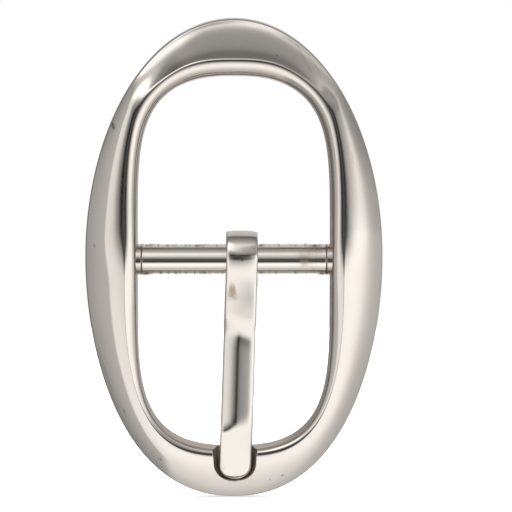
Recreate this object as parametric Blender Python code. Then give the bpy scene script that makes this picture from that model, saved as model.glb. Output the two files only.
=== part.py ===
"""Dress belt buckle: a cast oval ring, a round bar across its opening and one tongue on the bar.

Origin on the bar's axis at mid length. +X runs along the bar, +Z towards the ring's upper end,
-Y out of the front face. Sizes below are in millimetres and are scaled to metres when meshed.
"""

import math

import bmesh
import bpy

MM = 0.001

# Ring outlines, seen from the front: half sizes, height of the centre and the two powers
OUTER_HALF = (21.0, 33.9)
OUTER_Z = 0.0
OUTER_POWER = 2.02
OUTER_FULLER = 0.14
INNER_HALF = (13.6, 26.2)
INNER_Z = -0.5
INNER_POWER = (2.5, 5.0)
INNER_FULLER = 0.15
CREST_HALF = (15.35, 27.85)
CREST_Z = 0.3

# Ring section, in four parts of the ring: top, upper sides, lower sides, bottom
CREST_POWER = (2.85, 3.5, 3.1, 3.1)
# Half the width over which the crest turns from the lip to the slope
CREST_ROUND = (0.28, 0.5, 0.05, 0.7)
# Slope angles in degrees at even steps from the crest down to the opening's wall
LIPS = (
    (3, 11, 18, 30, 44, 60),
    (0.5, 5, 13, 24, 38, 60),
    (14, 16, 19, 24, 33, 55),
    (6, 14, 24, 36, 50, 66),
)
# Slope angles in degrees at even steps from the crest to the outer edge
SLOPES = (
    (52, 46, 42, 39.5, 38, 37, 35.5, 32, 25, 14),
    (0.5, 4.5, 8.5, 12.5, 17, 23, 29, 33, 36, 38),
    (13, 14, 16.5, 20, 23.5, 27, 30, 33, 35.5, 38),
    (12, 14.5, 16.5, 18.5, 20.5, 22, 24, 26, 29, 32),
)
TOP_FROM = 0.82
TOP_OVER = 0.15
BOTTOM_SHARE_POWER = 14
LOWER_FROM = 0.26
LOWER_OVER = 0.46
BACK_Y = 3.3
CREST_Y = -3.2
CREST_BACK_TOP = 0.9
CREST_BACK_BOTTOM = 1.8
WALL_DRAFT = 0.18
RIM_ROUND = 0.5
RIM_DRAFT = 0.12
RIM_TURNS = (0.45, 0.97)
BACK_CHAMFER = 0.2
RING_STEPS = 128
LIP_PLACES = (1.0, 0.78, 0.58, 0.4, 0.24, 0.1)
SLOPE_PLACES = (0.0, 0.04, 0.12, 0.24, 0.38, 0.54, 0.7, 0.86, 1.0)
FINE_STEPS = 10

# Bar, its tenons and the bosses that hold them
BAR_RADIUS = 2.1
BAR_HALF = 12.95
TENON_RADIUS = 1.4
TENON_REACH = 14.8
BOSS_FACE = 13.0
BOSS_RADIUS = 2.2
BOSS_ROOT = 15.2
SOCKET_RADIUS = 1.5
SOCKET_REACH = 15.0
ROUND_STEPS = 48

# Notch in the bottom rail; its outline is measured at the rail's front
NOTCH_X = 0.12
NOTCH_HALF = (3.0, 2.8)
NOTCH_POWER = 2.2
NOTCH_END_Z = -31.65
NOTCH_FRONT_Y = -1.2
NOTCH_FLOOR_Y = 2.2
NOTCH_WALL_SLOPE = 7.5
NOTCH_MOUTH_Z = -24.0

# Tongue
EYE_RADIUS = 2.25
EYE_FRONT = 1.82
EYE_TOP = 1.8
EYE_BACK = 0.9
EYE_POWER = 2.6
EYE_START_DEG = -98.0
EYE_STEPS = 28
EYE_X = 1.1
TIP_X = 0.15
TIP_Z = -31.1
BLADE_THICK = 1.8
TIP_THICK = 1.1
EYE_WIDTH = 4.4
TIP_WIDTH = 4.56
TIP_LENGTH = 1.9
TIP_POWER = 2.3
TIP_DROP = 0.12
TIP_DROP_LENGTH = 0.7
BLADE_STEPS = 34
CORNER = 0.22
CORNER_TILT_DEG = 23.0
BACK_CORNER = 0.2
CORNER_STEPS = 2
BEND_SKEW = 0.28
# Heights over which the skew, and the uneven crown of the blade's middle, come in and fade out
SKEW_IN = (-1.0, -7.0)
SKEW_OUT = (-27.1, -31.1)
UNEVEN_IN = (-8.0, -11.0)
UNEVEN_OUT = (-22.5, -24.5)
NARROW_HALF = 1.4
# Slope angle of the front face, in degrees, at each height
BLADE_TILT = (
    (0.0, 4.0), (-0.8, 10.0), (-1.6, 16.0), (-3.0, 13.0), (-5.0, 10.6), (-8.0, 10.8), (-9.8, 16.0),
    (-11.0, 12.0), (-12.0, 5.0), (-13.5, 0.0), (-21.5, 0.0), (-22.6, 3.0), (-23.4, 8.0),
    (-24.0, 15.0), (-27.0, 14.5), (-31.2, 14.0),
)
# Slope angle across the front face, in degrees, from its left edge (-1) to its right (1)
ROUND_ACROSS = (
    (-1.0, -20.0), (-0.8, -11.0), (-0.5, -5.0), (0.0, 0.0), (0.5, 5.0), (0.8, 11.0), (1.0, 20.0),
)
BLADE_ACROSS = (
    (-1.0, -24.0), (-0.6, -16.0), (-0.3, -7.0), (-0.1, 0.0), (0.3, 3.5), (0.6, 5.0), (0.72, 16.0),
    (1.0, 23.0),
)
ACROSS_PLACES = (-1.0, -0.72, -0.45, -0.2, 0.05, 0.35, 0.62, 0.8, 1.0)


def clear_scene():
    for old in list(bpy.data.objects):
        bpy.data.objects.remove(old, do_unlink=True)


def metal(name, color, roughness):
    """A plain metal with its own Principled shader."""
    made = bpy.data.materials.new(name)
    made.use_nodes = True
    shader = made.node_tree.nodes["Principled BSDF"]
    shader.inputs["Base Color"].default_value = (*color, 1.0)
    shader.inputs["Metallic"].default_value = 1.0
    shader.inputs["Roughness"].default_value = roughness
    return made


def mesh_object(name, points, faces, material=None):
    """One object from points in millimetres, with its faces turned outward."""
    data = bpy.data.meshes.new(name)
    data.from_pydata([tuple(c * MM for c in p) for p in points], [], faces)
    work = bmesh.new()
    work.from_mesh(data)
    bmesh.ops.recalc_face_normals(work, faces=work.faces)
    work.to_mesh(data)
    work.free()
    made = bpy.data.objects.new(name, data)
    bpy.context.collection.objects.link(made)
    if material:
        data.materials.append(material)
    return made


def shade_round(made, degrees):
    """Smooth shading, with edges sharper than the angle kept crisp."""
    data = made.data
    data.polygons.foreach_set("use_smooth", [True] * len(data.polygons))
    data.set_sharp_from_angle(angle=math.radians(degrees))


def loft(sections, closed):
    """Faces joining equal-length closed sections; closed joins the last to the first."""
    count = len(sections)
    size = len(sections[0])
    points = [p for section in sections for p in section]
    faces = []
    for i in range(count if closed else count - 1):
        near = i * size
        far = ((i + 1) % count) * size
        for j in range(size):
            k = (j + 1) % size
            faces.append((near + j, near + k, far + k, far + j))
    if not closed:
        faces.append(tuple(range(size)))
        faces.append(tuple(range((count - 1) * size, count * size)))
    return points, faces


def smooth(t):
    t = min(max(t, 0.0), 1.0)
    return t * t * (3.0 - 2.0 * t)


def steepness(tilts, place):
    """Rise over run at a fraction of a length, from slope angles at even steps along it."""
    at = min(max(place, 0.0), 1.0) * (len(tilts) - 1)
    whole = min(int(at), len(tilts) - 2)
    tilt = tilts[whole] + (tilts[whole + 1] - tilts[whole]) * (at - whole)
    return math.tan(math.radians(tilt))


def tilt_at(stops, place):
    """Slope angle at a place, from (place, angle) stops in rising order of place."""
    for (a, tilt_a), (b, tilt_b) in zip(stops, stops[1:]):
        if place <= b:
            return tilt_a + (tilt_b - tilt_a) * max(place - a, 0.0) / (b - a)
    return stops[-1][1]


def height_along(stops, places):
    """Heights at places in rising order, on a line whose slope angle is given at stops."""
    made = [0.0]
    for a, b in zip(places, places[1:]):
        width = (b - a) / FINE_STEPS
        middles = [a + (i + 0.5) * width for i in range(FINE_STEPS)]
        gained = sum(math.tan(math.radians(tilt_at(stops, m))) * width for m in middles)
        made.append(made[-1] + gained)
    return made


def oval_reach(angle, half, centre_z, powers):
    """Distance from the origin to an oval |x/a|^p + |z/b|^q = 1, along a direction."""
    low, high = 0.0, 60.0
    for _ in range(48):
        mid = 0.5 * (low + high)
        across = abs(mid * math.cos(angle)) / half[0]
        up = abs(mid * math.sin(angle) - centre_z) / half[1]
        if across ** powers[0] + up ** powers[1] < 1.0:
            low = mid
        else:
            high = mid
    return low


def shares(angle):
    """How far a direction belongs to the top, upper sides, lower sides and bottom."""
    rise = math.sin(angle)
    top = smooth((rise - TOP_FROM) / TOP_OVER)
    bottom = max(-rise, 0.0) ** BOTTOM_SHARE_POWER
    lower = smooth((LOWER_FROM - rise) / LOWER_OVER)
    side = 1.0 - top - bottom
    return top, side * (1.0 - lower), side * lower, bottom


def mix(weights, values):
    return sum(w * v for w, v in zip(weights, values))


def face_heights(weights, places, lip, slope):
    """Depths on the front, from the crest, at signed distances along the section."""
    turning = mix(weights, CREST_ROUND)

    def steep(away):
        outward = mix(weights, [steepness(tilts, away / slope) for tilts in SLOPES])
        inward = mix(weights, [steepness(tilts, -away / lip) for tilts in LIPS])
        turned_out = smooth(0.5 + 0.5 * away / turning)
        return outward * turned_out - inward * (1.0 - turned_out)

    depths = [0.0]
    for a, b in zip(places, places[1:]):
        width = (b - a) / FINE_STEPS
        gained = sum(steep(a + (i + 0.5) * width) * width for i in range(FINE_STEPS))
        depths.append(depths[-1] + gained)
    crest = depths[places.index(0.0)]
    return [depth - crest for depth in depths]


def ring_section(angle):
    """The ring's section at one direction: distance from the origin and depth."""
    rise = math.sin(angle)
    top = max(rise, 0.0) ** 2
    bottom = max(-rise, 0.0) ** 2
    weights = shares(angle)
    outer_power = OUTER_POWER + OUTER_FULLER * bottom
    outer = oval_reach(angle, OUTER_HALF, OUTER_Z, (outer_power, outer_power))
    inner_powers = (INNER_POWER[0] + INNER_FULLER * bottom, INNER_POWER[1])
    inner = oval_reach(angle, INNER_HALF, INNER_Z, inner_powers)
    crest_power = mix(weights, CREST_POWER)
    crest = oval_reach(angle, CREST_HALF, CREST_Z, (crest_power, crest_power))
    crest_y = CREST_Y + CREST_BACK_TOP * top + CREST_BACK_BOTTOM * bottom
    edge_tilt = math.radians(mix(weights, [tilts[-1] for tilts in SLOPES]))
    edge = outer - RIM_DRAFT - RIM_ROUND * (1.0 - math.sin(edge_tilt))
    lip = crest - inner - WALL_DRAFT
    slope = edge - crest

    places = [-lip * part for part in LIP_PLACES] + [slope * part for part in SLOPE_PLACES]
    depths = face_heights(weights, places, lip, slope)
    section = [(crest + away, crest_y + depth) for away, depth in zip(places, depths)]
    edge_y = section[-1][1]
    for part in RIM_TURNS:
        turn = edge_tilt + (0.5 * math.pi - edge_tilt) * part
        out = edge + RIM_ROUND * (math.sin(turn) - math.sin(edge_tilt))
        section.append((out, edge_y + RIM_ROUND * (math.cos(edge_tilt) - math.cos(turn))))
    section += [
        (outer, BACK_Y - BACK_CHAMFER),
        (outer - BACK_CHAMFER, BACK_Y),
        (inner + BACK_CHAMFER, BACK_Y),
        (inner, BACK_Y - BACK_CHAMFER),
    ]
    return section


def ring(material):
    """The plain ring, lofted round the opening."""
    sections = []
    for i in range(RING_STEPS):
        angle = 2.0 * math.pi * i / RING_STEPS
        turn = (math.cos(angle), math.sin(angle))
        sections.append([(r * turn[0], y, r * turn[1]) for r, y in ring_section(angle)])
    points, faces = loft(sections, closed=True)
    return mesh_object("frame", points, faces, material)


def turned(name, profile, material=None):
    """A solid of revolution about X from (x, radius) pairs, closed by flat ends."""
    sections = []
    for x, radius in profile:
        circle = []
        for i in range(ROUND_STEPS):
            angle = 2.0 * math.pi * i / ROUND_STEPS
            circle.append((x, radius * math.cos(angle), radius * math.sin(angle)))
        sections.append(circle)
    points, faces = loft(sections, closed=False)
    return mesh_object(name, points, faces, material)


def tool(made):
    """Marks a solid as a working shape that is joined to or cut from another."""
    made.hide_render = True
    made.display_type = "WIRE"
    return made


def combine(target, other, operation):
    step = target.modifiers.new(other.name, "BOOLEAN")
    step.operation = operation
    step.solver = "EXACT"
    step.object = other


def boss(side, name):
    """A short round boss standing on the inner wall, just under the lip."""
    ease = 0.06
    profile = [
        (BOSS_FACE, BOSS_RADIUS - ease),
        (BOSS_FACE + ease, BOSS_RADIUS),
        (BOSS_ROOT, BOSS_RADIUS),
    ]
    return tool(turned(name, [(side * x, r) for x, r in profile]))


def socket(side, name):
    """The blind hole in a boss for the bar's tenon."""
    profile = [(BOSS_FACE - 0.5, SOCKET_RADIUS), (SOCKET_REACH, SOCKET_RADIUS)]
    return tool(turned(name, [(side * x, r) for x, r in profile]))


def notch_outline(grow):
    """The U outline, grown by a distance and open towards the ring's opening."""
    centre_z = NOTCH_END_Z + NOTCH_HALF[1]
    across = NOTCH_HALF[0] + grow
    down = NOTCH_HALF[1] + grow
    arc_steps = 24
    outline = []
    for i in range(arc_steps + 1):
        turn = math.pi * i / arc_steps
        side = math.copysign(abs(math.cos(turn)) ** (2.0 / NOTCH_POWER), -math.cos(turn))
        depth = math.sin(turn) ** (2.0 / NOTCH_POWER) if 0 < i < arc_steps else 0.0
        outline.append((NOTCH_X + across * side, centre_z - down * depth))
    outline.append((NOTCH_X + across, NOTCH_MOUTH_Z))
    outline.append((NOTCH_X - across, NOTCH_MOUTH_Z))
    return outline


def notch():
    """Cutter for the tongue's seat: U-shaped, drafted, open to the front and the opening."""
    clear_y = CREST_Y - 2.0
    sections = []
    for y in (NOTCH_FLOOR_Y, clear_y):
        grow = (NOTCH_FRONT_Y - y) / NOTCH_WALL_SLOPE
        sections.append([(x, y, z) for x, z in notch_outline(grow)])
    points, faces = loft(sections, closed=False)
    return tool(mesh_object("notch_tool", points, faces))


def frame(material):
    """The cast ring with its two bosses, their sockets and the notch."""
    made = ring(material)
    for side, mark in ((-1, "left"), (1, "right")):
        combine(made, boss(side, "boss_" + mark), "UNION")
        combine(made, socket(side, "socket_" + mark), "DIFFERENCE")
    combine(made, notch(), "DIFFERENCE")
    shade_round(made, 40.0)
    return made


def bar(material):
    """The round bar with a thinner tenon at each end."""
    ease = 0.06
    half = [
        (BAR_HALF - ease, BAR_RADIUS),
        (BAR_HALF, BAR_RADIUS - ease),
        (BAR_HALF, TENON_RADIUS),
        (TENON_REACH - 0.2, TENON_RADIUS),
        (TENON_REACH, TENON_RADIUS - 0.2),
    ]
    profile = [(-x, r) for x, r in reversed(half)] + half
    made = turned("bar", profile, material)
    shade_round(made, 35.0)
    return made


def eye_thickness(angle):
    """Metal thickness of the eye: thin behind the bar, squarish between its top and front."""
    back = max(math.cos(angle), 0.0) ** 2
    front = max(-math.cos(angle), 0.0) ** 2
    thick = EYE_BACK * back + EYE_FRONT * front + EYE_TOP * (1.0 - back - front)
    if math.cos(angle) < 0.0:
        round_off = abs(math.cos(angle)) ** EYE_POWER + abs(math.sin(angle)) ** EYE_POWER
        thick += (EYE_RADIUS + thick) * (round_off ** (-1.0 / EYE_POWER) - 1.0)
    return thick


def blade_heights():
    """Heights of the blade's sections, closer together towards the tip."""
    crowding = 1.35
    return [TIP_Z * (1.0 - (1.0 - i / BLADE_STEPS) ** crowding) for i in range(BLADE_STEPS + 1)]


def between(z, span):
    """Rises smoothly from 0 to 1 as the height goes from the span's first to its second."""
    return smooth((span[0] - z) / (span[0] - span[1]))


def blade_front(z):
    """Depth of the blade's front face along its middle."""
    stops = [(-height, tilt) for height, tilt in BLADE_TILT]
    steps = 60
    down = -min(z, 0.0)
    width = down / steps
    tilts = [tilt_at(stops, (i + 0.5) * width) for i in range(steps)]
    fall = sum(math.tan(math.radians(tilt)) for tilt in tilts) * width
    tip = max((TIP_Z + TIP_DROP_LENGTH - z) / TIP_DROP_LENGTH, 0.0)
    return -EYE_RADIUS - EYE_FRONT + fall + TIP_DROP * tip * tip


def blade_thickness(z):
    """Full thickness, thinner past the second bend."""
    settled_z = -5.5
    bend_z = -22.0
    thick = EYE_FRONT + (BLADE_THICK - EYE_FRONT) * between(z, (0.0, settled_z))
    return thick + (TIP_THICK - BLADE_THICK) * between(z, (bend_z, TIP_Z))


def blade_half_width(z):
    """Half width, with the tip rounded off."""
    half = 0.5 * (EYE_WIDTH + (TIP_WIDTH - EYE_WIDTH) * z / TIP_Z)
    past = (TIP_Z + TIP_LENGTH - z) / TIP_LENGTH
    if past > 0.0:
        least = 0.01
        half *= max(1.0 - past**TIP_POWER, least) ** (1.0 / TIP_POWER)
    return half


def strip_outline(half, thick, uneven):
    """The strip's section as (width, thickness): crowned front, rounded corners, flat back."""
    small = min(1.0, half / NARROW_HALF)
    even = height_along(ROUND_ACROSS, ACROSS_PLACES)
    bent = height_along(BLADE_ACROSS, ACROSS_PLACES)
    falls = [(1.0 - uneven) * (e - min(even)) + uneven * (b - min(bent)) for e, b in zip(even, bent)]
    corner = CORNER * small
    start = math.radians(CORNER_TILT_DEG)
    reach = half - corner * (1.0 - math.sin(start))
    front = [(place * reach, 0.5 * thick - fall * reach * small) for place, fall in zip(ACROSS_PLACES, falls)]
    right = []
    left = []
    for i in range(1, CORNER_STEPS + 1):
        turn = start + (0.5 * math.pi - start) * i / CORNER_STEPS
        out = corner * (math.sin(turn) - math.sin(start))
        down = corner * (math.cos(start) - math.cos(turn))
        right.append((reach + out, front[-1][1] - down))
        left.append((-reach - out, front[0][1] - down))
    round_back = BACK_CORNER * small
    back = []
    for i in range(CORNER_STEPS + 1):
        turn = 0.5 * math.pi * i / CORNER_STEPS
        across = half - round_back * (1.0 - math.cos(turn))
        back.append((across, -0.5 * thick + round_back * (1.0 - math.sin(turn))))
    return front + right + back + [(-x, n) for x, n in reversed(back)] + left[::-1]


def eye_sections():
    """Sections round the bar, from the loop's free end over the top to the front."""
    start = math.radians(EYE_START_DEG)
    nominal = 1.0
    outline = strip_outline(0.5 * EYE_WIDTH, nominal, 0.0)
    sections = []
    for i in range(EYE_STEPS):
        angle = start + (math.pi - start) * i / EYE_STEPS
        thick = eye_thickness(angle)
        middle = EYE_RADIUS + 0.5 * thick
        grown = 0.5 * (thick - nominal)
        section = []
        for across, out in outline:
            far = middle + out + math.copysign(grown, out)
            section.append((EYE_X + across, far * math.cos(angle), far * math.sin(angle)))
        sections.append(section)
    return sections


def blade_sections():
    """Sections down the blade; the bends run slightly askew across it."""
    sections = []
    step = 0.05
    for z in blade_heights():
        uneven = between(z, UNEVEN_IN) * (1.0 - between(z, UNEVEN_OUT))
        thick = blade_thickness(z)
        outline = strip_outline(blade_half_width(z), thick, uneven)
        shift = EYE_X + (TIP_X - EYE_X) * z / TIP_Z
        middle = blade_front(z)
        above = min(z + step, 0.0)
        lean = (blade_front(z - step) - blade_front(above)) / (above - z + step)
        size = math.hypot(1.0, lean)
        normal = (-1.0 / size, -lean / size)
        centre = (middle - 0.5 * thick * normal[0], z - 0.5 * thick * normal[1])
        skew = BEND_SKEW * between(z, SKEW_IN) * (1.0 - between(z, SKEW_OUT))
        section = []
        for across, out in outline:
            sheared = blade_front(z - skew * across) - middle
            y = centre[0] + out * normal[0] + sheared
            section.append((shift + across, y, centre[1] + out * normal[1]))
        sections.append(section)
    return sections


def tongue(material):
    """One bent strip: an eye wrapped round the bar, then the blade down to the notch."""
    points, faces = loft(eye_sections() + blade_sections(), closed=False)
    made = mesh_object("tongue", points, faces, material)
    shade_round(made, 50.0)
    return made


def main():
    clear_scene()
    frame(metal("frame_nickel", (0.66, 0.64, 0.60), 0.18))
    bar(metal("bar_nickel", (0.60, 0.58, 0.54), 0.24))
    tongue(metal("tongue_nickel", (0.64, 0.62, 0.58), 0.20))


main()
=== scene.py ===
import math

import bpy
import numpy as np
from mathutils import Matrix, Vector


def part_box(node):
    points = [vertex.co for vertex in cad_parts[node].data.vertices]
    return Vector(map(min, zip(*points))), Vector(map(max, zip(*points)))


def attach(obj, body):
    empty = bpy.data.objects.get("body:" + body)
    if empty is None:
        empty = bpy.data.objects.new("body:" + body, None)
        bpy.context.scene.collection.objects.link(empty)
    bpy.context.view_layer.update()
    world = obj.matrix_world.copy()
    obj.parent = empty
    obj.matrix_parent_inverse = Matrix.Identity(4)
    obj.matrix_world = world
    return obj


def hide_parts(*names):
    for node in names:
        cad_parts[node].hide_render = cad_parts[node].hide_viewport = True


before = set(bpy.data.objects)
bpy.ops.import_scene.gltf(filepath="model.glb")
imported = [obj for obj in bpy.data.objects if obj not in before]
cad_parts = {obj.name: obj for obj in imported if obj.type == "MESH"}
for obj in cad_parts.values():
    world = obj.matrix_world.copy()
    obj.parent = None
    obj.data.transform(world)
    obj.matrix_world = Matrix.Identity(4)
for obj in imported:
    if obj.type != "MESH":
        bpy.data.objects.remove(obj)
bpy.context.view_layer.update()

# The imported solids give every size; lengths below are in millimetres.
MM = 0.001
RING_LOW, RING_HIGH = (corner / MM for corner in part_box("frame"))
BAR_LOW, BAR_HIGH = (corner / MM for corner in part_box("bar"))
TONGUE_LOW, TONGUE_HIGH = (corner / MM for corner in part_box("tongue"))

# Ring outlines, seen from the front
OUTER_HALF = (0.5 * (RING_HIGH.x - RING_LOW.x), 0.5 * (RING_HIGH.z - RING_LOW.z))
OUTER_Z = 0.5 * (RING_HIGH.z + RING_LOW.z)
OUTER_POWER = 2.02
OUTER_FULLER = 0.14
INNER_HALF = (OUTER_HALF[0] - 7.4, OUTER_HALF[1] - 7.7)
INNER_Z = OUTER_Z - 0.5
INNER_POWER = (2.5, 5.0)
INNER_FULLER = 0.15
CREST_HALF = (INNER_HALF[0] + 1.75, INNER_HALF[1] + 1.65)
CREST_Z = OUTER_Z + 0.3
CREST_POWER = (2.85, 3.5, 3.1, 3.1)

# Ring section
BACK_Y = RING_HIGH.y
CREST_Y = RING_LOW.y
CREST_BACK_TOP = 0.9
CREST_BACK_BOTTOM = 1.8
WALL_DRAFT = 0.18
RIM_ROUND = 0.5
RIM_DRAFT = 0.12
BACK_ROUND = 0.22
WALL_STEPS = 90
LIP_STEPS = 56
SLOPE_STEPS = 120

# Bosses on the inner walls
BAR_RADIUS = BAR_HIGH.z
BOSS_FACE = 13.0
BOSS_RADIUS = BAR_RADIUS + 0.06
BOSS_EASE = 0.04
SOCKET_RADIUS = 1.5
SOCKET_DEPTH = 2.0

# Notch for the tongue's point; its outline is measured at the rail's front
NOTCH_X = 0.12
NOTCH_HALF = (3.0, 2.8)
NOTCH_POWER = 2.2
NOTCH_END_Z = TONGUE_LOW.z - 0.5
NOTCH_FRONT_Y = -1.2
NOTCH_FLOOR_Y = 2.2
NOTCH_STEEP = 5.5
NOTCH_SHOULDER = 0.1
NOTCH_SHOULDER_Z = -28.2
NOTCH_SHOULDER_LENGTH = 1.2


# ---------------------------------------------------------------- shapes

def mesh_piece(name, points, quads, material, body, replaced, surface_layers=None):
    """A smooth-shaded piece from points in millimetres that stands for a CAD node.

    The last argument holds one value for each point under each name the materials look up, painted shade and
    a painted dark reflection among them.
    """
    data = bpy.data.meshes.new(name)
    data.from_pydata((points * MM).tolist(), [], quads)
    data.polygons.foreach_set("use_smooth", [True] * len(data.polygons))
    data.materials.append(material)
    for key, values in (surface_layers or {}).items():
        layer = data.attributes.new(key, "FLOAT", "POINT")
        layer.data.foreach_set("value", np.ascontiguousarray(values, dtype=np.float32).ravel())
    data.update()
    piece = bpy.data.objects.new(name, data)
    bpy.context.scene.collection.objects.link(piece)
    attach(piece, body)
    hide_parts(replaced)
    return piece


def grid_quads(rows, columns, close_rows, close_columns):
    """Faces of a grid whose points are listed row by row."""
    quads = []
    for i in range(rows if close_rows else rows - 1):
        near = i * columns
        far = ((i + 1) % rows) * columns
        for j in range(columns if close_columns else columns - 1):
            k = (j + 1) % columns
            quads.append((near + j, far + j, far + k, near + k))
    return quads


def smoothstep(t):
    t = np.clip(t, 0.0, 1.0)
    return t * t * (3.0 - 2.0 * t)


def soft_max(a, b, width):
    """The larger of two values, blended over a width so that their meeting is rounded."""
    blend = np.clip(0.5 + 0.5 * (a - b) / width, 0.0, 1.0)
    return b + (a - b) * blend + width * blend * (1.0 - blend) * 0.5


def oval_reach(angle, half, centre_z, powers):
    """Distance from the origin to an oval |x/a|^p + |z/b|^q = 1, along each direction."""
    low = np.zeros_like(angle)
    high = np.full_like(angle, 60.0)
    for _ in range(44):
        mid = 0.5 * (low + high)
        across = np.abs(mid * np.cos(angle)) / half[0]
        up = np.abs(mid * np.sin(angle) - centre_z) / half[1]
        inside = across ** powers[0] + up ** powers[1] < 1.0
        low = np.where(inside, mid, low)
        high = np.where(inside, high, mid)
    return low


def shares(angle):
    """How far each direction belongs to the top, upper sides, lower sides and bottom."""
    rise = np.sin(angle)
    top = smoothstep((rise - 0.82) / 0.15)
    bottom = np.maximum(-rise, 0.0) ** 14
    lower = smoothstep((0.26 - rise) / 0.46)
    side = 1.0 - top - bottom
    return top, side * (1.0 - lower), side * lower, bottom


def mix(angle, values):
    return sum(weight * value for weight, value in zip(shares(angle), values))


def ring_angles():
    """Directions round the ring, packed closer at the bosses and at the notch."""
    steps = 6000
    angle = np.linspace(0.0, 2.0 * math.pi, steps, endpoint=False)

    def near(centre, width):
        away = np.abs((angle - centre + math.pi) % (2.0 * math.pi) - math.pi)
        return 1.0 - smoothstep((away - 0.6 * width) / (0.6 * width))

    density = 1.0 + 3.5 * near(0.0, 0.25) + 3.5 * near(math.pi, 0.25)
    density = density + 7.0 * near(1.5 * math.pi, 0.2)
    total = np.concatenate([[0.0], np.cumsum(density)])
    count = 1200
    wanted = np.linspace(0.0, total[-1], count, endpoint=False)
    return np.interp(wanted, total, np.linspace(0.0, 2.0 * math.pi, steps + 1))


def slope_table(places, tilts):
    """Steepness at fractions of a length, from slope angles at even fractions of it."""
    fine = np.linspace(0.0, 1.0, 401)
    steep = np.tan(np.radians(np.interp(fine, np.linspace(0.0, 1.0, len(tilts)), tilts)))
    kernel = np.hanning(61)
    padded = np.pad(steep, 30, mode="edge")
    smooth = np.convolve(padded, kernel / kernel.sum(), mode="valid")
    return np.interp(places, fine, smooth)


def slope_blend(angle, places, all_tilts):
    """The same for every direction round the ring, one row each."""
    tables = [slope_table(places, tilts) for tilts in all_tilts]
    return sum(w[:, None] * t[None, :] for w, t in zip(shares(angle), tables))


def ring_points():
    """The casting's surface: one closed section for each direction round the opening."""
    angle = ring_angles()
    top = np.maximum(np.sin(angle), 0.0) ** 2
    bottom = np.maximum(-np.sin(angle), 0.0) ** 2
    power = OUTER_POWER + OUTER_FULLER * bottom
    outer = oval_reach(angle, OUTER_HALF, OUTER_Z, (power, power))
    inner = oval_reach(angle, INNER_HALF, INNER_Z, (INNER_POWER[0] + INNER_FULLER * bottom, INNER_POWER[1]))
    crest_power = mix(angle, CREST_POWER)
    crest = oval_reach(angle, CREST_HALF, CREST_Z, (crest_power, crest_power))
    wall = inner + WALL_DRAFT
    crest_y = CREST_Y + CREST_BACK_TOP * top + CREST_BACK_BOTTOM * bottom
    edge_tilt = np.radians(mix(angle, [tilts[-1] for tilts in SLOPES]))
    edge = outer - RIM_DRAFT - RIM_ROUND * (1.0 - np.sin(edge_tilt))

    # Distances from the crest, negative inwards, close together at the crest itself
    lip_part = np.linspace(1.0, 0.0, LIP_STEPS, endpoint=False) ** 1.6
    slope_part = np.linspace(0.0, 1.0, SLOPE_STEPS + 1) ** 1.6
    away = np.concatenate([
        -(crest - wall)[:, None] * lip_part[None, :],
        (edge - crest)[:, None] * slope_part[None, :],
    ], axis=1)
    inward = slope_blend(angle, lip_part, LIPS)
    outward = slope_blend(angle, slope_part, SLOPES)
    inward = np.concatenate([inward, np.repeat(inward[:, -1:], SLOPE_STEPS + 1, axis=1)], axis=1)
    outward = np.concatenate([np.repeat(outward[:, :1], LIP_STEPS, axis=1), outward], axis=1)
    turned = smoothstep(0.5 + 0.5 * away / mix(angle, CREST_ROUND)[:, None])
    steep = outward * turned - inward * (1.0 - turned)
    gained = 0.5 * (steep[:, 1:] + steep[:, :-1]) * np.diff(away, axis=1)
    height = np.concatenate([np.zeros((len(angle), 1)), np.cumsum(gained, axis=1)], axis=1)
    height = height - height[:, LIP_STEPS:LIP_STEPS + 1] + crest_y[:, None]
    height = height + (CREST_Y - height.min())
    face_radius = crest[:, None] + away
    wall_y = height[:, 0]
    edge_y = height[:, -1]

    columns = []

    def add(radius, depth):
        columns.append((radius, depth))

    for i in range(WALL_STEPS):
        t = i / WALL_STEPS
        start = BACK_Y - BACK_ROUND
        add(inner + (wall - inner) * t, start + (wall_y - start) * t)
    for i in range(face_radius.shape[1]):
        add(face_radius[:, i], height[:, i])
    rim_steps = 10
    for i in range(1, rim_steps + 1):
        turn = edge_tilt + (math.radians(88.0) - edge_tilt) * i / rim_steps
        rim = edge + RIM_ROUND * (np.sin(turn) - np.sin(edge_tilt))
        rim_y = edge_y + RIM_ROUND * (np.cos(edge_tilt) - np.cos(turn))
        add(rim, rim_y)
    for i in range(1, 9):
        t = i / 8
        add(rim + (outer - rim) * t, rim_y + (BACK_Y - BACK_ROUND - rim_y) * t)
    for i in range(1, 6):
        turn = 0.5 * math.pi * i / 5
        add(outer - BACK_ROUND * (1.0 - math.cos(turn)), BACK_Y - BACK_ROUND * (1.0 - math.sin(turn)))
    flat_steps = 20
    for i in range(1, flat_steps):
        t = i / flat_steps
        add(outer - BACK_ROUND + (inner + 2.0 * BACK_ROUND - outer) * t, BACK_Y)
    for i in range(0, 5):
        turn = 0.5 * math.pi * i / 5
        add(inner + BACK_ROUND * (1.0 - math.sin(turn)), BACK_Y - BACK_ROUND * (1.0 - math.cos(turn)))

    radius = np.stack([np.broadcast_to(c[0], angle.shape) for c in columns], axis=1)
    depth = np.stack([np.broadcast_to(c[1], angle.shape) for c in columns], axis=1)
    x = radius * np.cos(angle)[:, None]
    z = radius * np.sin(angle)[:, None]
    return np.stack([x, depth, z], axis=2)


def sink_sockets(points):
    """Sinks a blind round hole in the inner wall at each end of the bar."""
    x, y, z = points[..., 0], points[..., 1], points[..., 2]
    on_wall = (np.abs(x) < CREST_HALF[0] - 0.9) & (np.abs(z) < 4.0) & (y < BACK_Y - 0.3)
    sunk = 1.0 - smoothstep((np.hypot(y, z) - SOCKET_RADIUS + 0.1) / 0.1)
    points[..., 0] = np.where(on_wall, np.sign(x) * (np.abs(x) + SOCKET_DEPTH * sunk), x)


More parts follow.
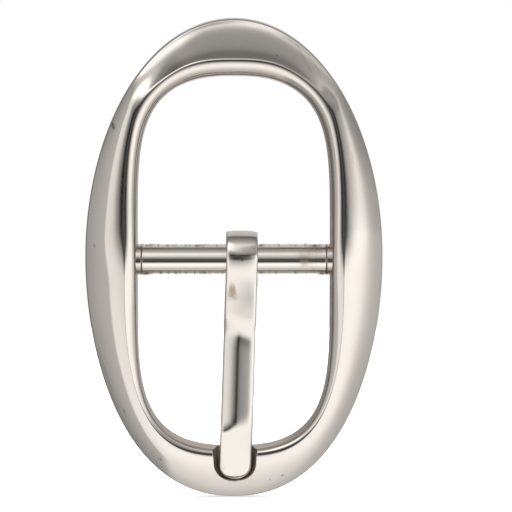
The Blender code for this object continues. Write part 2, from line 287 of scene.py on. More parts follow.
def build_boss(side, name, material):
    """The short round boss on the inner wall that holds one end of the bar."""
    root = INNER_HALF[0] + 0.5
    side_start = BOSS_FACE + BOSS_EASE
    profile = [(root, SOCKET_RADIUS), (BOSS_FACE, SOCKET_RADIUS), (BOSS_FACE, BOSS_RADIUS - BOSS_EASE)]
    for i in range(1, 4):
        turn = 0.5 * math.pi * i / 3
        inward = BOSS_EASE * (1.0 - math.cos(turn))
        profile.append((BOSS_FACE + inward, BOSS_RADIUS - BOSS_EASE * (1.0 - math.sin(turn))))
    steps = 12
    for i in range(1, steps + 1):
        profile.append((side_start + (root - side_start) * i / steps, BOSS_RADIUS))
    around = 120
    turn = np.linspace(0.0, 2.0 * math.pi, around, endpoint=False)
    along = np.repeat(np.array([p[0] for p in profile])[:, None], around, axis=1)
    reach = np.repeat(np.array([p[1] for p in profile])[:, None], around, axis=1)
    depth = reach * np.cos(turn)[None, :]
    height = reach * np.sin(turn)[None, :]
    points = np.stack([side * along, depth, height], axis=2)
    quads = grid_quads(len(profile), around, True, True)
    if side < 0:
        quads = [tuple(reversed(quad)) for quad in quads]
    # Dirt in the seam with the bar, and painted shade darkening the underside
    seam = 0.6 * np.exp(-((along - BOSS_FACE) / 0.1) ** 2)
    low = 0.5 * np.clip((-height - 0.6) / 1.5, 0.0, 1.0)
    surface_layers = {"grime_and_painted_shade": np.clip(seam + low, 0.0, 1.0)}
    return mesh_piece(name, points.reshape(-1, 3), quads, material, "ring", "frame", surface_layers)


def cut_notch(points):
    """Sinks a flat floor inside a U outline, with drafted walls, and gives back the dirt in it."""
    x, y, z = points[..., 0], points[..., 1], points[..., 2]
    centre_z = NOTCH_END_Z + NOTCH_HALF[1]
    across = np.abs(x - NOTCH_X)
    down = np.maximum(centre_z - z, 0.0)
    oval = (across / NOTCH_HALF[0]) ** NOTCH_POWER + (down / NOTCH_HALF[1]) ** NOTCH_POWER
    oval = np.maximum(oval, 0.0001) ** (1.0 / NOTCH_POWER)
    flare = NOTCH_SHOULDER * smoothstep((z - NOTCH_SHOULDER_Z) / NOTCH_SHOULDER_LENGTH)
    outside = np.where(
        z < centre_z,
        np.hypot(across, down) * (1.0 - 1.0 / oval),
        across - NOTCH_HALF[0] - flare,
    )
    foot = (NOTCH_FLOOR_Y - NOTCH_FRONT_Y) / NOTCH_STEEP
    climb = NOTCH_STEEP * (outside + foot)
    sunk = NOTCH_FLOOR_Y - soft_max(climb, np.zeros_like(climb), 0.5)
    front = (z < 0.0) & (np.abs(x) < 8.0) & (y < BACK_Y - 0.3)
    deeper = np.where(front, soft_max(y, sunk, 0.3), y)
    moved = deeper - y
    points[..., 1] = deeper
    cut = smoothstep((moved - 0.3) / 0.6)
    floor = smoothstep((deeper - NOTCH_FLOOR_Y + 0.5) / 0.4)
    return 0.5 * cut * (1.0 - 0.4 * floor)


def near_line(points, start, end, width):
    """1 on a line seen from the front, falling to 0 within a width of it."""
    x, z = points[..., 0], points[..., 2]
    run = (end[0] - start[0], end[1] - start[1])
    length = max(run[0] ** 2 + run[1] ** 2, 0.000001)
    part = np.clip(((x - start[0]) * run[0] + (z - start[1]) * run[1]) / length, 0.0, 1.0)
    gap = np.hypot(x - start[0] - part * run[0], z - start[1] - part * run[1])
    return np.where(points[..., 1] < BACK_Y - 1.0, np.exp(-(gap / width) ** 2), 0.0)


# Scratches, nicks and pits on the casting's front: start, end, width and depth of tone
RING_MARKS = (
    ((-17.25, 19.4), (-16.75, 18.5), 0.17, 1.0),
    ((-17.9, 16.9), (-19.3, 13.4), 0.05, 0.5),
    ((-19.3, 13.4), (-20.25, 9.6), 0.05, 0.35),
    ((-19.0, -12.9), (-17.2, -18.4), 0.05, 0.3),
    ((20.6, -3.0), (20.35, -7.6), 0.07, 0.7),
    ((7.4, 31.5), (8.6, 31.0), 0.06, 0.6),
    ((8.0, 31.0), (9.4, 30.2), 0.06, 0.5),
    ((8.9, 30.0), (10.8, 26.2), 0.05, 0.35),
    ((10.2, 28.9), (12.0, 26.3), 0.05, 0.3),
    ((6.0, 28.6), (6.05, 28.6), 0.12, 0.5),
    ((6.8, -30.6), (6.85, -30.6), 0.12, 0.8),
    ((5.1, -31.2), (5.15, -31.2), 0.1, 0.5),
    ((-15.5, -21.3), (-15.4, -21.5), 0.12, 0.6),
    ((-10.5, -28.1), (-10.3, -28.3), 0.12, 0.6),
    ((-19.6, 2.2), (-19.5, 1.9), 0.1, 0.4),
    ((16.4, 15.2), (16.7, 13.4), 0.05, 0.3),
)


# Slope angles, in degrees, from the crest down to the wall and from the crest to the outer edge,
# at the top, upper sides, lower sides and bottom
LIPS = (
    (3, 11, 18, 30, 44, 60),
    (0.5, 5, 13, 24, 38, 60),
    (14, 16, 19, 24, 33, 55),
    (6, 14, 24, 36, 50, 66),
)
SLOPES = (
    (52, 46, 42, 39.5, 38, 37, 35.5, 32, 25, 14),
    (0.5, 4.5, 8.5, 12.5, 17, 23, 29, 33, 36, 38),
    (13, 14, 16.5, 20, 23.5, 27, 30, 33, 35.5, 38),
    (12, 14.5, 16.5, 18.5, 20.5, 22, 24, 26, 29, 32),
)
# Half the width over which the crest turns from one to the other
CREST_ROUND = (0.28, 0.5, 0.05, 0.7)


def build_ring(material):
    """The cast ring, with its sockets, its notch, its scratches, its dirt and painted shade along the inner
    wall's edges.
    """
    points = ring_points()
    sink_sockets(points)
    rows, columns = points.shape[:2]
    marks_and_painted_reflection = np.zeros((rows, columns))
    for start, end, width, depth in RING_MARKS:
        marks_and_painted_reflection = np.maximum(marks_and_painted_reflection, depth * near_line(points, start, end, width))
    # Marks lie on the face only, not on the inner wall, the rim or the back
    face_end = WALL_STEPS + LIP_STEPS + SLOPE_STEPS
    marks_and_painted_reflection[:, :WALL_STEPS] = 0.0
    marks_and_painted_reflection[:, face_end:] = 0.0
    # Brown dirt on the inner wall, with painted shade as darker lines along its two edges
    wall = 0.42 * (1.0 - smoothstep((np.arange(columns) - WALL_STEPS + 2.0) / 6.0))
    wall[:4] = 0.8
    wall[WALL_STEPS - 5:WALL_STEPS + 3] = 0.75
    # The back, the inner wall and the notch keep the duller skin of the casting
    cast = smoothstep((points[..., 1] - BACK_Y + 0.15) / 0.12)
    cast[:, :WALL_STEPS] = np.maximum(cast[:, :WALL_STEPS], 0.5)
    notch_grime = cut_notch(points)
    cast = np.maximum(cast, np.clip(2.0 * notch_grime, 0.0, 1.0))
    grime_and_painted_shade = np.maximum(notch_grime, wall[None, :])
    quads = grid_quads(rows, columns, True, True)
    surface_layers = {"grime_and_painted_shade": grime_and_painted_shade, "marks_and_painted_reflection": marks_and_painted_reflection, "cast": cast}
    flat_points = points.reshape(-1, 3)
    return mesh_piece("frame_casting", flat_points, quads, material, "ring", "frame", surface_layers)


def smooth_noise(rng, along, scale):
    """Random values between -1 and 1 that change smoothly over a length."""
    low, high = along.min(), along.max()
    knots = np.arange(low - scale, high + 2.0 * scale, scale)
    values = rng.uniform(-1.0, 1.0, len(knots))
    place = (along - knots[0]) / scale
    whole = np.floor(place).astype(int)
    part = smoothstep(place - whole)
    return values[whole] * (1.0 - part) + values[whole + 1] * part


# Casting flash on the bar
FLASH_HEIGHT = 0.12
FLASH_HALF_TURN = 0.09
CLUMP_X = 12.45
CLUMP_HALF = 0.55
CLUMP_TURN = 4.6


def bar_flash(rng, along, turn):
    """Shares of the flash's height at each point of the bar, and the streaks its dirt follows."""
    noise = [smooth_noise(rng, along, scale) for scale in (0.25, 0.8, 2.5)]
    upper = np.clip(0.45 * noise[0] + 0.35 * noise[1] + 0.4 * noise[2] + 0.25, 0.0, 1.0)
    fine = smooth_noise(rng, along, 0.3)
    coarse = smooth_noise(rng, along, 1.6)
    lower = np.clip(0.5 * fine + 0.5 * coarse + 0.15, 0.0, 1.0)
    flash = []
    for centre, ragged in ((0.5 * math.pi, upper), (1.5 * math.pi, lower)):
        near = np.exp(-((turn - centre) / FLASH_HALF_TURN) ** 2)
        flash.append(ragged[:, None] * near[None, :])
    ends = np.exp(-((np.abs(along) - CLUMP_X) / CLUMP_HALF) ** 2) * (0.7 + 0.3 * noise[0])
    flash.append(ends[:, None] * np.exp(-((turn - CLUMP_TURN) / 0.22) ** 2)[None, :])
    return flash, noise[1]


def bar_wear(rng, along, turn, streak):
    """Dirt along the flash and at the bosses, and dark specks in it."""
    def beside(centre, half_turn):
        return np.exp(-((turn - centre) / half_turn) ** 2)

    specks = [np.clip(2.6 * smooth_noise(rng, along, scale) - 0.9, 0.0, 1.0) for scale in (0.22, 0.3, 0.5)]
    above = np.clip(specks[0] + 0.6 * specks[2], 0.0, 1.0)
    below = np.clip(specks[1] + 0.6 * specks[2], 0.0, 1.0)
    upper = above[:, None] * beside(1.85, 0.2)[None, :]
    lower = below[:, None] * beside(4.3, 0.25)[None, :]
    near_boss = np.exp(-((np.abs(along) - 12.5) / 0.6) ** 2)
    corner = near_boss[:, None] * beside(4.4, 0.3)[None, :]
    seam = np.clip((np.abs(along) - BOSS_FACE + 0.3) / 0.2, 0.0, 1.0)[:, None] * np.ones((1, len(turn)))
    band = beside(4.45, 0.2) + 0.6 * beside(1.78, 0.15)
    haze = (0.1 + 0.2 * np.clip(streak, 0.0, 1.0))[:, None] * band[None, :]
    return {
        "grime_and_painted_shade": np.maximum(0.35 * seam, haze),
        "marks_and_painted_reflection": np.clip(0.85 * upper + 0.85 * lower + 0.8 * corner, 0.0, 1.0),
    }


def build_bar(material):
    """The round bar with a thin, broken line of casting flash along its top and bottom."""
    rng = np.random.default_rng(5)
    shoulder = BOSS_FACE - 0.05
    body = np.linspace(-shoulder + 0.06, shoulder - 0.06, 420)
    left = [
        (BAR_LOW.x, 0.0), (BAR_LOW.x, 1.2), (BAR_LOW.x + 0.2, 1.4), (-shoulder, 1.4),
        (-shoulder, BAR_RADIUS - 0.06),
    ]
    profile = left + [(x, BAR_RADIUS) for x in body] + [(-x, r) for x, r in reversed(left)]
    around = 144
    turn = np.linspace(0.0, 2.0 * math.pi, around, endpoint=False)
    along = np.array([p[0] for p in profile])
    radius = np.repeat(np.array([p[1] for p in profile])[:, None], around, axis=1)
    full = (radius[:, 0] >= BAR_RADIUS)[:, None]
    flash, streak = bar_flash(rng, along, turn)
    for share in flash:
        radius = radius + np.where(full, FLASH_HEIGHT * share, 0.0)
    x = np.repeat(along[:, None], around, axis=1)
    points = np.stack([x, radius * np.cos(turn)[None, :], radius * np.sin(turn)[None, :]], axis=2)
    quads = grid_quads(len(profile), around, False, True)
    surface_layers = bar_wear(rng, along, turn, streak)
    flat_points = points.reshape(-1, 3)
    return mesh_piece("centre_bar", flat_points, quads, material, "ring", "bar", surface_layers)


# Tongue: an eye round the bar and a blade that reaches down to the notch
EYE_RADIUS = BAR_RADIUS + 0.15
EYE_FRONT = -TONGUE_LOW.y - EYE_RADIUS
EYE_TOP = 1.8
EYE_BACK = TONGUE_HIGH.y - EYE_RADIUS
EYE_POWER = 2.6
EYE_SWELL = 0.158
EYE_START = math.radians(-98.0)
EYE_WIDTH = 4.4
TIP_WIDTH = 4.56
EYE_X = 1.1
TIP_X = 0.15
TIP_Z = TONGUE_LOW.z - 0.12
BLADE_THICK = 1.8
TIP_THICK = 1.1
TIP_LENGTH = 1.9
TIP_POWER = 2.3
CORNER = 0.24
BACK_CORNER = 0.2
CORNER_START = math.radians(23.0)
BEND_SKEW = 0.28
# Slope angle, in degrees, of the front face at each height
BLADE_TILT = (
    (0.0, 9.0), (-0.8, 12.0), (-1.6, 15.0), (-3.0, 12.3), (-5.0, 10.9), (-7.6, 11.2), (-9.2, 16.0),
    (-10.2, 11.0), (-11.2, 4.0), (-12.5, 0.0), (-21.5, 0.0), (-22.6, 3.0), (-23.4, 8.0),
    (-24.0, 15.0), (-27.0, 14.5), (-31.2, 14.0), (-33.0, 14.0),
)
# Slope angle across the face, in degrees, from its left edge to its right
ROUND_ACROSS = ((-1.0, -20.0), (-0.85, -6.0), (-0.5, -1.5), (0.0, 1.0), (0.5, 3.5), (0.85, 8.0), (1.0, 20.0))
BLADE_ACROSS = (
    (-1.0, -24.0), (-0.72, -16.0), (-0.42, -10.0), (-0.18, -5.0), (0.02, 4.2), (0.2, 5.4), (0.45, 6.0),
    (0.68, 7.0), (0.85, 12.0), (1.0, 24.0),
)


def running_height(stops, places):
    """Height gained along a line whose slope angle is given at stops, starting from the first."""
    fine = np.linspace(stops[0][0], stops[-1][0], 2001)
    order = sorted(stops)
    tilt = np.interp(fine, [s[0] for s in order], [s[1] for s in order])
    kernel = np.hanning(51)
    tilt = np.convolve(np.pad(tilt, 25, mode="edge"), kernel / kernel.sum(), mode="valid")
    steep = np.tan(np.radians(tilt))
    gained = 0.5 * (steep[1:] + steep[:-1]) * np.abs(np.diff(fine))
    height = np.concatenate([[0.0], np.cumsum(gained)])
    if fine[0] > fine[-1]:
        return np.interp(places, fine[::-1], height[::-1])
    return np.interp(places, fine, height)


def eye_thickness(turn):
    """Thickness of the metal round the bar, for a turn from the back through the top."""
    back = max(math.cos(turn), 0.0) ** 2
    front = max(-math.cos(turn), 0.0) ** 2
    thick = EYE_BACK * back + EYE_FRONT * front + EYE_TOP * (1.0 - back - front)
    if math.cos(turn) < 0.0:
        round_off = abs(math.cos(turn)) ** EYE_POWER + abs(math.sin(turn)) ** EYE_POWER
        thick += (EYE_RADIUS + thick) * (round_off ** (-1.0 / EYE_POWER) - 1.0)
    return thick


def blade_front(z):
    """Depth of the blade's front face along its middle."""
    fall = running_height(BLADE_TILT, z)
    tip = np.clip((TIP_Z + 0.7 - z) / 0.7, 0.0, 1.0)
    return -EYE_RADIUS - EYE_FRONT + fall + 0.12 * tip * tip


def blade_thickness(z):
    """Thickness of the blade: the eye's at the bar, thinning to the blade's, then to the point's."""
    near = float(smoothstep(z / -5.5))
    thick = EYE_FRONT + (BLADE_THICK - EYE_FRONT) * near
    return thick + (TIP_THICK - BLADE_THICK) * float(smoothstep((-22.0 - z) / (-22.0 - TIP_Z)))


def blade_half_width(z):
    """Half the blade's width, with a rounded point."""
    run = z / TIP_Z
    half = 0.5 * (EYE_WIDTH + (TIP_WIDTH - EYE_WIDTH) * run)
    past = (TIP_Z + TIP_LENGTH - z) / TIP_LENGTH
    if past > 0.0:
        half *= max(1.0 - past ** TIP_POWER, 0.0002) ** (1.0 / TIP_POWER)
    return half


def strip_outline(half, thick, uneven):
    """One section across the strip: a crowned front, rounded corners and a flat back.

    uneven blends the front from an even crown to the lopsided one of the blade's middle.
    """
    small = min(1.0, half / 1.4)
    front = np.linspace(-1.0, 1.0, 61)
    even = running_height(ROUND_ACROSS, front)
    bent = running_height(BLADE_ACROSS, front)
    fall = (1.0 - uneven) * (even - even.min()) + uneven * (bent - bent.min())
    corner = CORNER * small
    start = CORNER_START
    reach = half - corner * (1.0 - math.sin(start))
    across = front * reach
    out = 0.5 * thick - fall * reach * small
    right = []
    left = []
    for i in range(1, 9):
        turn = start + (0.5 * math.pi - start) * i / 8
        step_x = corner * (math.sin(turn) - math.sin(start))
        step_n = corner * (math.cos(start) - math.cos(turn))
        right.append((reach + step_x, out[-1] - step_n))
        left.append((-reach - step_x, out[0] - step_n))
    round_back = BACK_CORNER * small
    back = []
    for i in range(5):
        turn = 0.5 * math.pi * i / 4
        out_back = -0.5 * thick + round_back * (1.0 - math.sin(turn))
        back.append((half - round_back * (1.0 - math.cos(turn)), out_back))
    points = list(zip(across, out)) + right + back
    points += [(-x, n) for x, n in reversed(back)] + list(reversed(left))
    return points


def eye_sections():
    """Sections of the eye: from its free end under the bar, round the back and over the top."""
    sections = []
    steps = 140
    outline = strip_outline(0.5 * EYE_WIDTH, 1.0, 0.0)
    for i in range(steps):
        turn = EYE_START + (math.pi - EYE_START) * i / steps
        thick = eye_thickness(turn)
        reach = EYE_RADIUS + 0.5 * thick
        grown = 0.5 * (thick - 1.0)
        rise = (EYE_RADIUS + thick) * math.sin(turn) if math.cos(turn) < 0.0 else 0.0
        swell = EYE_SWELL * max(rise, 0.0) * math.exp(-((rise / 1.2) ** 2))
        section = []
        for across, out in outline:
            far = reach + out + math.copysign(grown, out) + (swell if out > 0.0 else 0.0)
            section.append((EYE_X + across, far * math.cos(turn), far * math.sin(turn)))
        sections.append(section)
    return sections


def blade_section(z):
    """The section of the blade at one height."""
    uneven = float(smoothstep((-8.0 - z) / 3.0) * (1.0 - smoothstep((-22.5 - z) / 2.0)))
    thick = blade_thickness(z)
    outline = strip_outline(blade_half_width(z), thick, uneven)
    shift = EYE_X + (TIP_X - EYE_X) * z / TIP_Z
    middle = float(blade_front(z))
    step = 0.05
    near = float(blade_front(min(z + step, 0.0)))
    lean = (float(blade_front(z - step)) - near) / (step + min(step, -z))
    size = math.hypot(1.0, lean)
    normal = (-1.0 / size, -lean / size)
    centre = (middle - 0.5 * thick * normal[0], z - 0.5 * thick * normal[1])
    # The bends run slantwise across the blade, one way in its upper part and the other way below
    skewed = float(smoothstep((z + 1.0) / -6.0)) * float(smoothstep((z - TIP_Z) / 4.0))
    skewed *= -1.4 + 2.4 * float(smoothstep((-12.5 - z) / 7.0))
    across = np.array([p[0] for p in outline])
    out = np.array([p[1] for p in outline])
    sheared = blade_front(np.minimum(z - BEND_SKEW * skewed * across, 0.0)) - middle
    depth = centre[0] + out * normal[0] + sheared
    return list(zip(shift + across, depth, centre[1] + out * normal[1]))


def tongue_stain_and_painted_reflection(points):
    """A tan stain under the eye, a dark pit on the eye, and a painted dark reflection in the lower bend."""
    x, y, z = points[:, 0], points[:, 1], points[:, 2]
    drop = np.clip((z + 5.3) / 2.6, 0.0, 1.0)
    stain = np.exp(-((x + 0.3) / (0.75 - 0.45 * drop)) ** 4 - ((z + 4.3) / 1.15) ** 4)
    pit = np.exp(-((x - EYE_X) ** 2 + (z - 0.2) ** 2) / 0.03)
    # The dark spot in the lower bend is a painted dark reflection
    bend_painted_reflection = np.exp(-((x - 0.08) / 0.28) ** 2 - ((z + 22.75) / 0.45) ** 2)
    return {
        "stain": np.where(y < -1.0, stain, 0.0),
        "marks_and_painted_reflection": np.where(y < 0.0, np.clip(pit + 0.8 * bend_painted_reflection, 0.0, 1.0), 0.0),
    }


def build_tongue(material):
    """The tongue as one strip, swept from the eye's free end to the point."""
    sections = eye_sections()
    steps = 340
    for i in range(steps + 1):
        t = i / steps
        # Closer together towards the point, and just short of it so that the last width isn't zero
        sections.append(blade_section(TIP_Z * (1.0 - (1.0 - t) ** 1.5) * 0.9999))
    count = len(sections[0])
    points = np.array(sections).reshape(-1, 3)
    quads = grid_quads(len(sections), count, False, True)
    quads.append(tuple(reversed(range(count))))
    quads.append(tuple(range((len(sections) - 1) * count, len(sections) * count)))
    surface_layers = tongue_stain_and_painted_reflection(points)
    return mesh_piece("tongue_prong", points, quads, material, "prong", "tongue", surface_layers)


# ---------------------------------------------------------------- materials

class Nodes:
    """Short forms for wiring a node tree."""

    def __init__(self, tree):
        self.tree = tree

    def add(self, kind, **settings):
        node = self.tree.nodes.new(kind)
        for key, value in settings.items():
            setattr(node, key, value)
        return node

    def link(self, source, target):
        if isinstance(source, (int, float)):
            target.default_value = source
        else:
            self.tree.links.new(source, target)

    def math(self, operation, *values):
        node = self.add("ShaderNodeMath", operation=operation)
        for value, socket in zip(values, node.inputs):
            self.link(value, socket)
        return node.outputs[0]

    def band(self, value, start, end):
        """Rises smoothly from 0 at start to 1 at end."""
        node = self.add("ShaderNodeMapRange", interpolation_type="SMOOTHSTEP")
        self.link(value, node.inputs["Value"])
        flip = start > end
        node.inputs["From Min"].default_value = end if flip else start
        node.inputs["From Max"].default_value = start if flip else end
        node.inputs["To Min"].default_value = 1.0 if flip else 0.0
        node.inputs["To Max"].default_value = 0.0 if flip else 1.0
        return node.outputs["Result"]

    def mix(self, factor, a, b):
        """a where factor is 0 and b where it is 1."""
        difference = self.math("SUBTRACT", b, a)
        return self.math("MULTIPLY_ADD", factor, difference, a)

    def curve(self, value, low, high, stops):
        """A smooth curve through (place, value) stops, for places between low and high."""
        top = max(level for _, level in stops)
        node = self.add("ShaderNodeFloatCurve")
        mapping = node.mapping
        line = mapping.curves[0]
        span = high - low
        places = [((place - low) / span, level / top) for place, level in stops]
        line.points[0].location = places[0]
        line.points[1].location = places[-1]
        for place in places[1:-1]:
            line.points.new(*place)
        mapping.update()
        scaled = self.math("DIVIDE", self.math("SUBTRACT", value, low), span)
        self.link(scaled, node.inputs["Value"])
        return self.math("MULTIPLY", node.outputs["Value"], top)

    def noise(self, coordinates, scale, detail=3.0, roughness=0.5):
        node = self.add("ShaderNodeTexNoise")
        self.link(coordinates, node.inputs["Vector"])
        node.inputs["Scale"].default_value = scale
        node.inputs["Detail"].default_value = detail
        node.inputs["Roughness"].default_value = roughness
        return node.outputs["Fac"]


# Brown of the dirt layer, which also paints shade along the inner wall's edges and under the bosses
GRIME_AND_SHADE_COLOR = (0.25, 0.185, 0.115, 1.0)
# Near black of scratches and pits, which also paints a dark reflection in the tongue's lower bend
MARK_AND_REFLECTION_COLOR = (0.07, 0.05, 0.035, 1.0)
RIPPLE_DEPTH = 0.04 * MM


def attribute(n, name):
    """A wear value held by the piece's points."""
    return n.add("ShaderNodeAttribute", attribute_name=name).outputs["Fac"]


def nickel(name, color, tarnish_color, roughness, scuffs, spots):
    """Nickel plate: soft colour drift, patches of tarnish, fine scuffs and a faint cast ripple."""
    made = bpy.data.materials.new(name)
    made.use_nodes = True
    n = Nodes(made.node_tree)
    shader = made.node_tree.nodes["Principled BSDF"]
    shader.inputs["Metallic"].default_value = 1.0
    place = n.add("ShaderNodeTexCoord").outputs["Object"]
    patches = n.noise(place, 140.0, 4.0, 0.6)
    fine = n.noise(place, 900.0, 3.0, 0.6)
    drift = n.noise(place, 45.0, 2.0)
    clouds = n.noise(place, 500.0, 3.0, 0.55)

    # Where the plate is tarnished, stained, dirty, scratched or left as cast, and where shade and a dark
    # reflection are painted on
    tarnish = n.band(patches, 1.0 - spots, 1.0 - 0.6 * spots)
    mottle = n.band(n.noise(place, 900.0, 4.0, 0.6), 0.15, 0.6)
    stain = n.math("MULTIPLY", attribute(n, "stain"), mottle)
    grime_and_painted_shade = n.math("MULTIPLY", attribute(n, "grime_and_painted_shade"), n.math("MULTIPLY_ADD", clouds, 0.9, 0.55))
    marks_and_painted_reflection = attribute(n, "marks_and_painted_reflection")
    cast = attribute(n, "cast")

    blend = n.add("ShaderNodeMix", data_type="RGBA")
    n.link(n.math("MAXIMUM", n.math("MULTIPLY", tarnish, 0.6), stain), blend.inputs["Factor"])
    blend.inputs["A"].default_value = (*color, 1.0)
    blend.inputs["B"].default_value = (*tarnish_color, 1.0)
    tint = n.add("ShaderNodeHueSaturation")
    n.link(blend.outputs["Result"], tint.inputs["Color"])
    n.link(n.math("MULTIPLY_ADD", drift, 0.10, 0.95), tint.inputs["Value"])
    n.link(n.math("MULTIPLY_ADD", n.noise(place, 220.0, 3.0, 0.6), 1.0, 0.5), tint.inputs["Saturation"])
    painted = tint.outputs["Color"]
    # Dirt with painted shade, then marks with a painted dark reflection, laid over the colour
    for amount, shade in ((grime_and_painted_shade, GRIME_AND_SHADE_COLOR), (marks_and_painted_reflection, MARK_AND_REFLECTION_COLOR)):
        layer = n.add("ShaderNodeMix", data_type="RGBA", clamp_factor=True)
        n.link(amount, layer.inputs["Factor"])
        n.link(painted, layer.inputs["A"])
        layer.inputs["B"].default_value = shade
        painted = layer.outputs["Result"]
    n.link(painted, shader.inputs["Base Color"])

    rough = n.math("MULTIPLY_ADD", fine, scuffs, roughness - 0.5 * scuffs)
    rough = n.math("MULTIPLY_ADD", n.math("MAXIMUM", tarnish, stain), 0.18, rough)
    rough = n.math("MULTIPLY_ADD", n.math("MAXIMUM", grime_and_painted_shade, n.math("MULTIPLY", marks_and_painted_reflection, 0.3)), 0.5, rough)
    rough = n.math("MULTIPLY_ADD", cast, n.math("MULTIPLY_ADD", patches, 0.22, 0.08), rough)
    n.link(rough, shader.inputs["Roughness"])

    bump = n.add("ShaderNodeBump")
    n.link(n.math("MULTIPLY_ADD", cast, 0.3, 0.06), bump.inputs["Strength"])
    bump.inputs["Distance"].default_value = RIPPLE_DEPTH
    ripple = n.math("MULTIPLY", n.math("MULTIPLY", patches, cast), 1.5)
    n.link(n.math("ADD", fine, ripple), bump.inputs["Height"])
    n.link(bump.outputs["Normal"], shader.inputs["Normal"])
    return made


# ---------------------------------------------------------------- studio

# Brightness seen in a reflection, against its angle in degrees away from the camera, towards
# the four sides of the studio
LOOK_UP = (
    (0, 0.12), (6, 0.4), (14, 0.92), (28, 1.36), (42, 1.12), (52, 0.8), (64, 0.5), (76, 0.38), (88, 0.22),
    (100, 0.3), (120, 0.7), (150, 0.7), (180, 0.6),
)
LOOK_DOWN = (
    (0, 0.1), (8, 0.1), (15, 0.045), (19, 0.05), (24, 0.3), (31, 1.03), (42, 1.4), (50, 1.3), (60, 1.08),
    (68, 0.93), (78, 0.72), (100, 0.57), (114, 0.4), (140, 0.9), (165, 1.4), (180, 0.6),
)
LOOK_LEFT = (
    (0, 0.1), (4, 0.02), (9, 0.05), (12, 0.3), (19, 0.66), (26, 0.93), (35, 1.07), (50, 1.12), (60, 1.08),
    (76, 0.88), (88, 0.55), (100, 0.38), (120, 0.42), (150, 0.55), (180, 0.6),
)
LOOK_RIGHT = (
    (0, 0.1), (4, 0.02), (8, 0.08), (12, 0.32), (19, 0.74), (26, 1.05), (35, 1.2), (52, 1.1), (60, 0.9),
    (68, 0.68), (76, 0.56), (100, 0.45), (120, 0.5), (150, 0.6), (180, 0.6),
)


# The tent's soft spots: degrees away from the camera, degrees of turn, where each is full, where it ends
BRIGHT_PANEL = (50.0, 118.0, 5.0, 22.0)
BRIGHT_PANEL_LEVEL = 0.8
DIM_SPOTS = (
    ((30.0, 46.0, 12.0, 28.0), 0.4),
    ((16.0, 140.0, 6.0, 18.0), 0.45),
)


def toward(away, turn):
    """A direction at an angle from the camera, turned from the right through the top."""
    away = math.radians(away)
    turn = math.radians(turn)
    return (math.sin(away) * math.cos(turn), -math.cos(away), math.sin(away) * math.sin(turn))


def studio_light():
    """White to the camera; in reflections, a pale tent with a dark camera opening and panels."""
    world = bpy.data.worlds.new("studio")
    bpy.context.scene.world = world
    world.use_nodes = True
    n = Nodes(world.node_tree)
    background = world.node_tree.nodes["Background"]
    turned = n.add("ShaderNodeVectorRotate", rotation_type="EULER_XYZ")
    n.link(n.add("ShaderNodeTexCoord").outputs["Generated"], turned.inputs["Vector"])
    turned.inputs["Rotation"].default_value = (CAMERA_UP, 0.0, -CAMERA_TURN)
    direction = n.add("ShaderNodeSeparateXYZ")
    n.link(turned.outputs[0], direction.inputs[0])
    dx, dy, dz = direction.outputs
    ahead = n.math("MULTIPLY", dy, -1.0)
    away = n.math("MULTIPLY", n.math("ARCCOSINE", ahead), 180.0 / math.pi)
    flat_square = n.math("ADD", n.math("MULTIPLY", dx, dx), n.math("MULTIPLY", dz, dz))
    across = n.math("MAXIMUM", n.math("SQRT", flat_square), 0.0001)
    rise = n.math("MULTIPLY", n.math("ARCSINE", dz), 180.0 / math.pi)
    # The right side is brighter low down and dimmer high up
    right_share = n.mix(n.band(rise, 2.0, -6.0), 1.0, 1.22)
    right_share = n.math("MULTIPLY", right_share, n.mix(n.band(rise, 4.0, 14.0), 1.0, 0.74))

    def side_part(axis, sign):
        """How much a direction belongs to one side of the studio."""
        return n.math("MAXIMUM", n.math("MULTIPLY", n.math("DIVIDE", axis, across), sign), 0.0)

    upward = side_part(dz, 1.0)
    downward = side_part(dz, -1.0)
    leftward = side_part(dx, -1.0)
    rightward = side_part(dx, 1.0)
    right_look = n.math("MULTIPLY", n.curve(away, 0.0, 180.0, LOOK_RIGHT), right_share)
    looks = (
        (upward, n.curve(away, 0.0, 180.0, LOOK_UP)),
        (downward, n.curve(away, 0.0, 180.0, LOOK_DOWN)),
        (leftward, n.curve(away, 0.0, 180.0, LOOK_LEFT)),
        (rightward, right_look),
    )
    level = 0.0
    for part, seen in looks:
        level = n.math("MULTIPLY_ADD", n.math("MULTIPLY", part, part), seen, level)

    def spot(away_to, turn_to, start, end):
        """1 within an angle round a direction, falling softly to 0."""
        node = n.add("ShaderNodeVectorMath", operation="DOT_PRODUCT")
        n.link(turned.outputs[0], node.inputs[0])
        node.inputs[1].default_value = toward(away_to, turn_to)
        return n.band(node.outputs["Value"], math.cos(math.radians(end)), math.cos(math.radians(start)))

    # A bright soft panel high on the left, and dim parts of the tent high on both sides
    level = n.math("MULTIPLY_ADD", spot(*BRIGHT_PANEL), BRIGHT_PANEL_LEVEL, level)
    for place, dimmed in DIM_SPOTS:
        level = n.math("MULTIPLY", level, n.mix(spot(*place), 1.0, dimmed))
    # The left panel has a sharp outer edge
    edge = n.math("MULTIPLY_ADD", n.math("ABSOLUTE", rise), -0.33, away)
    past_left = n.math("MULTIPLY", n.band(edge, 42.0, 45.0), n.band(leftward, 0.35, 0.5))
    level = n.math("MULTIPLY", level, n.mix(past_left, 1.0, 0.58))
    path = n.add("ShaderNodeLightPath")
    level = n.mix(path.outputs["Is Glossy Ray"], 1.6, level)
    level = n.mix(path.outputs["Is Camera Ray"], level, 1.0)
    n.link(level, background.inputs["Strength"])
    warm = n.add("ShaderNodeMix", data_type="RGBA")
    n.link(path.outputs["Is Glossy Ray"], warm.inputs["Factor"])
    warm.inputs["A"].default_value = (1.0, 1.0, 1.0, 1.0)
    warm.inputs["B"].default_value = (1.0, 0.985, 0.965, 1.0)
    n.link(warm.outputs["Result"], background.inputs["Color"])


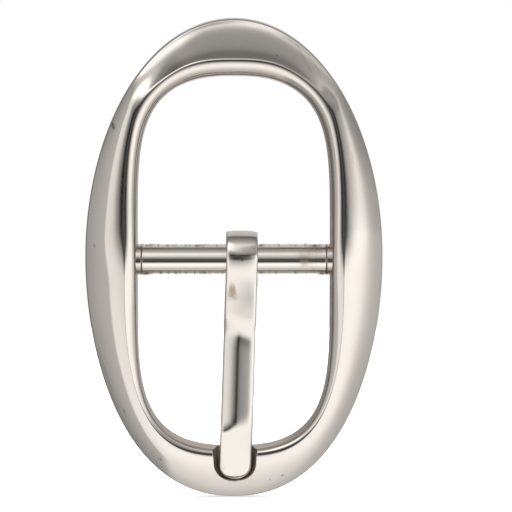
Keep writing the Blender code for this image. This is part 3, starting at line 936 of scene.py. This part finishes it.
CAMERA_UP = math.radians(4.0)
CAMERA_TURN = math.radians(-0.5)
CAMERA_DISTANCE = 400.0
CAMERA_FIELD = 72.0
CAMERA_SHIFT = (0.043, 0.0065)
SENSOR_WIDTH = 36.0


FLOOR_RADIUS = 260.0
FLOOR_GAP = 0.02


def build_floor():
    """A pale round floor just under the ring."""
    around = 96
    radius = FLOOR_RADIUS * MM
    height = (RING_LOW.z - FLOOR_GAP) * MM
    points = [(0.0, 0.0, height)]
    for i in range(around):
        turn = 2.0 * math.pi * i / around
        points.append((radius * math.cos(turn), radius * math.sin(turn), height))
    faces = [(0, i + 1, (i + 1) % around + 1) for i in range(around)]
    data = bpy.data.meshes.new("floor")
    data.from_pydata(points, [], faces)
    floor = bpy.data.objects.new("floor", data)
    bpy.context.scene.collection.objects.link(floor)
    paper = bpy.data.materials.new("floor_paper")
    paper.use_nodes = True
    n = Nodes(paper.node_tree)
    shader = paper.node_tree.nodes["Principled BSDF"]
    place = n.add("ShaderNodeTexCoord").outputs["Object"]
    grain = n.noise(place, 600.0, 2.0)
    tone = n.add("ShaderNodeCombineColor")
    value = n.math("MULTIPLY_ADD", grain, 0.02, 0.70)
    for socket in tone.inputs[:3]:
        n.link(value, socket)
    n.link(tone.outputs[0], shader.inputs["Base Color"])
    shader.inputs["Roughness"].default_value = 1.0
    shader.inputs["Specular IOR Level"].default_value = 0.0
    shader.inputs["Emission Color"].default_value = (1.0, 1.0, 1.0, 1.0)
    shader.inputs["Emission Strength"].default_value = 0.5
    data.materials.append(paper)
    floor.visible_glossy = False


def place_camera():
    """A long lens almost straight in front, a little above and to the left."""
    data = bpy.data.cameras.new("camera")
    data.sensor_width = SENSOR_WIDTH
    data.lens = SENSOR_WIDTH * CAMERA_DISTANCE / CAMERA_FIELD
    data.shift_x = CAMERA_SHIFT[0]
    data.shift_y = CAMERA_SHIFT[1]
    camera = bpy.data.objects.new("camera", data)
    flat = CAMERA_DISTANCE * MM * math.cos(CAMERA_UP)
    camera.location = (
        flat * math.sin(CAMERA_TURN),
        -flat * math.cos(CAMERA_TURN),
        OUTER_Z * MM + CAMERA_DISTANCE * MM * math.sin(CAMERA_UP),
    )
    camera.rotation_euler = (0.5 * math.pi - CAMERA_UP, 0.0, CAMERA_TURN)
    bpy.context.scene.collection.objects.link(camera)
    bpy.context.scene.camera = camera


frame_metal = nickel("frame_nickel_plate", (0.67, 0.635, 0.595), (0.42, 0.36, 0.28), 0.085, 0.05, 0.34)
# The bar's plate is painted lighter than the frame's, standing in for brighter light on the bar
bar_metal_painted_lighter = nickel("bar_nickel_plate_painted_lighter", (0.76, 0.72, 0.67), (0.36, 0.28, 0.19), 0.10, 0.06, 0.40)
tongue_metal = nickel("tongue_nickel_plate", (0.665, 0.635, 0.595), (0.42, 0.34, 0.25), 0.10, 0.05, 0.38)
build_ring(frame_metal)
build_boss(-1.0, "boss_left", frame_metal)
build_boss(1.0, "boss_right", frame_metal)
build_bar(bar_metal_painted_lighter)
build_tongue(tongue_metal)
studio_light()
build_floor()
place_camera()
bpy.context.scene.view_settings.view_transform = "Standard"
